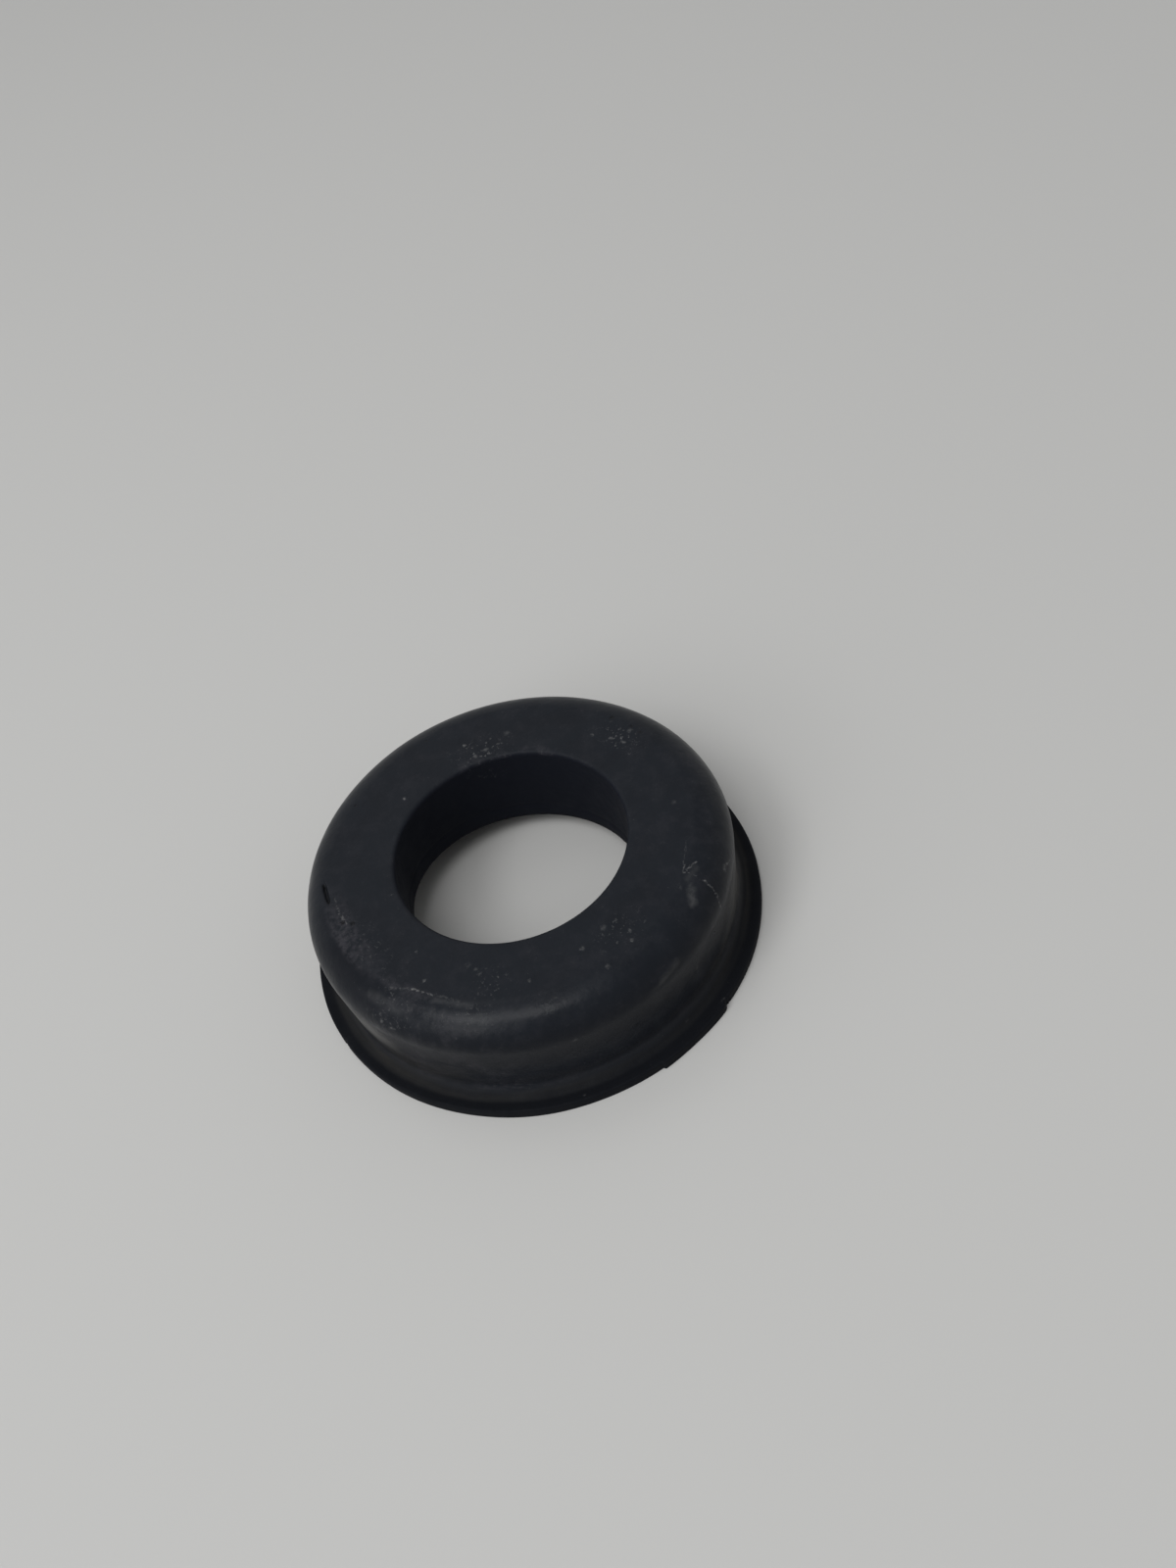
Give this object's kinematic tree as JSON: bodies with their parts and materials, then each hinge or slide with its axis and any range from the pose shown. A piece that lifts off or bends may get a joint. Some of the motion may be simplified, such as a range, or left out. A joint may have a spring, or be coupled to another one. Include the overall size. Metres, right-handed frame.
{
  "type": "coil spring pad",
  "caption": "Moulded rubber ring pad for the end of a coil spring, with a round shoulder, a wide bore, a thin foot flange and a ring-shaped channel underneath.",
  "frame": {"origin": "Centre of the flange's underside, on the ring's centre line.", "axes": "+Z is the ring's centre line, up from the flange to the top face. The collar's lower end slopes down towards a bearing of 37 degrees from +X, and the untrimmed stretch of the flange's edge runs from 284.5 to 307.5 degrees."},
  "size_m": [0.13, 0.13, 0.0342],
  "materials": {
    "rubber": "matt black moulded rubber, lightly scuffed and dusty"
  },
  "bodies": {
    "root": {"spring_pad": "rubber"}
  },
  "joints": []
}
